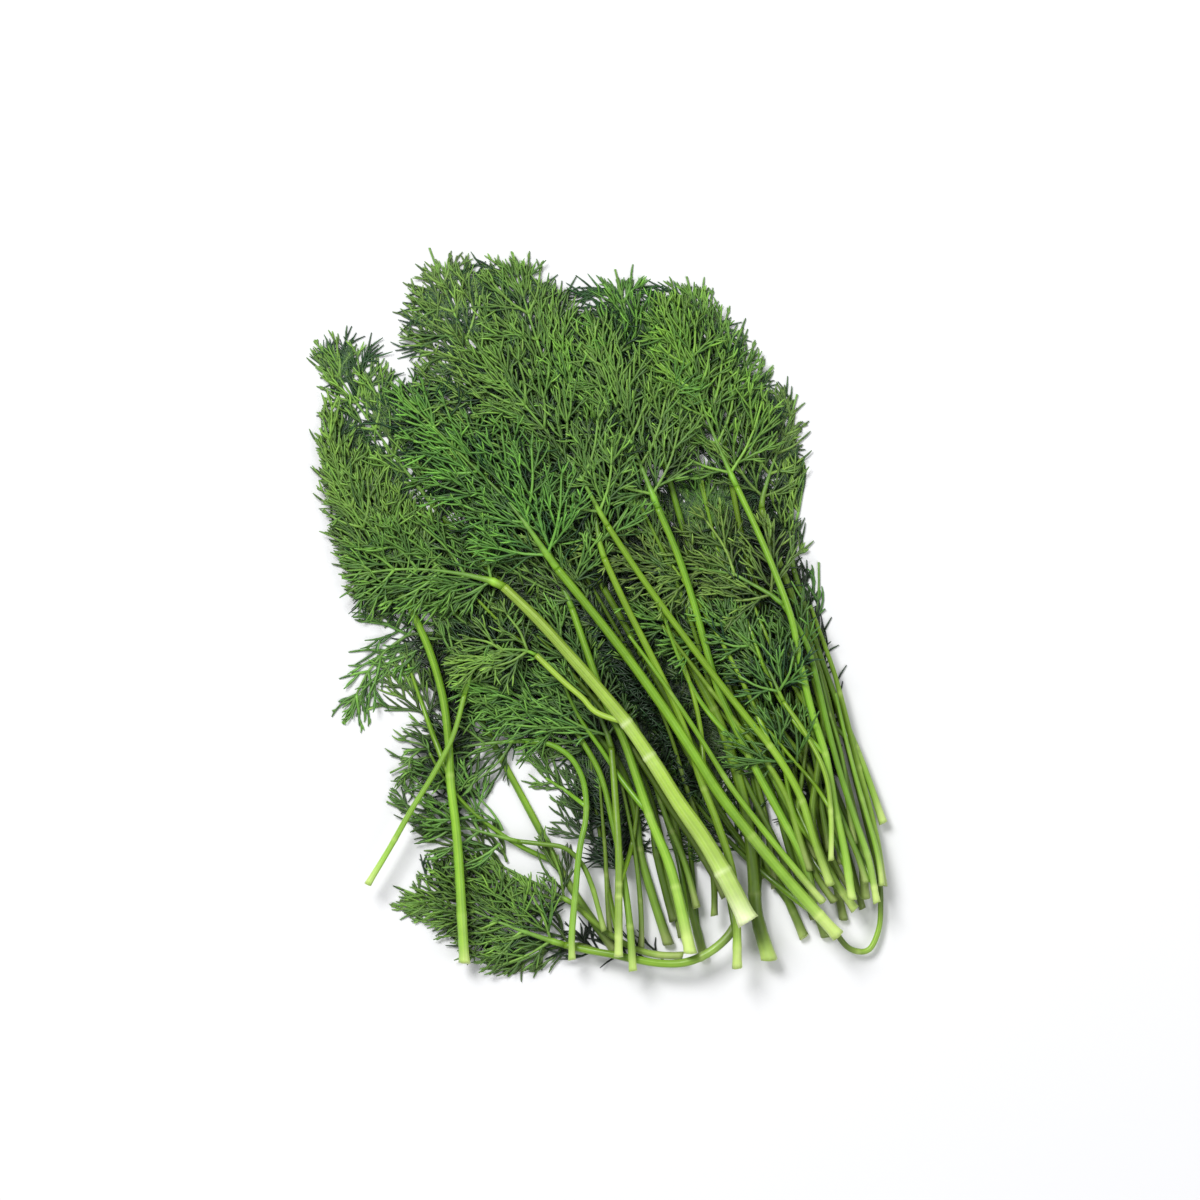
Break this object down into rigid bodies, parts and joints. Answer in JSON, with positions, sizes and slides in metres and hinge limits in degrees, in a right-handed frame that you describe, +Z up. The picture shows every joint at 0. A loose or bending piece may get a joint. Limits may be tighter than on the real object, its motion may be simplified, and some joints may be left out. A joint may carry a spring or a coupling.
{
  "type": "dill bunch",
  "caption": "Loose bunch of cut dill lying flat: round pale-green stalks fanned from their cut ends to feathery, finely divided green fronds.",
  "frame": {"origin": "the middle of the bunch seen from above, on the surface that it lies on", "axes": "+Z up from the surface, +Y from the cut ends towards the frond tips, +X to the right seen from above"},
  "size_m": [0.1649, 0.2059, 0.0187],
  "materials": {
    "stalk": "satin",
    "frond": "matte"
  },
  "bodies": {
    "root": {"frond_centre_low": "frond", "frond_centre_right": "frond", "frond_centre_top": "frond", "frond_centre_up": "frond", "frond_fallen_left": "frond", "frond_fork_right": "frond", "frond_inner_left": "frond", "frond_inner_middle": "frond", "frond_left_high": "frond", "frond_left_low": "frond", "frond_long_left": "frond", "frond_long_stem": "frond", "frond_low_down": "frond", "frond_low_left": "frond", "frond_low_up": "frond", "frond_right_high": "frond", "frond_right_low": "frond", "frond_right_middle": "frond", "frond_right_top": "frond", "frond_side_arch": "frond", "frond_side_branch": "frond", "frond_side_low": "frond", "frond_side_right": "frond", "frond_side_upper": "frond", "frond_thick_stem": "frond", "frond_thin_left": "frond", "frond_top_centre": "frond", "frond_top_left": "frond", "frond_top_middle": "frond", "frond_top_right": "frond", "stalk_centre_low": "stalk", "stalk_centre_right": "stalk", "stalk_centre_top": "stalk", "stalk_centre_up": "stalk", "stalk_fallen_left": "stalk", "stalk_fork_right": "stalk", "stalk_inner_left": "stalk", "stalk_inner_middle": "stalk", "stalk_left_high": "stalk", "stalk_left_low": "stalk", "stalk_long_left": "stalk", "stalk_long_stem": "stalk", "stalk_low_down": "stalk", "stalk_low_left": "stalk", "stalk_low_up": "stalk", "stalk_right_high": "stalk", "stalk_right_low": "stalk", "stalk_right_middle": "stalk", "stalk_right_top": "stalk", "stalk_side_arch": "stalk", "stalk_side_low": "stalk", "stalk_side_right": "stalk", "stalk_side_upper": "stalk", "stalk_thick_stem": "stalk", "stalk_thin_left": "stalk", "stalk_top_centre": "stalk", "stalk_top_left": "stalk", "stalk_top_middle": "stalk", "stalk_top_right": "stalk"}
  },
  "joints": []
}
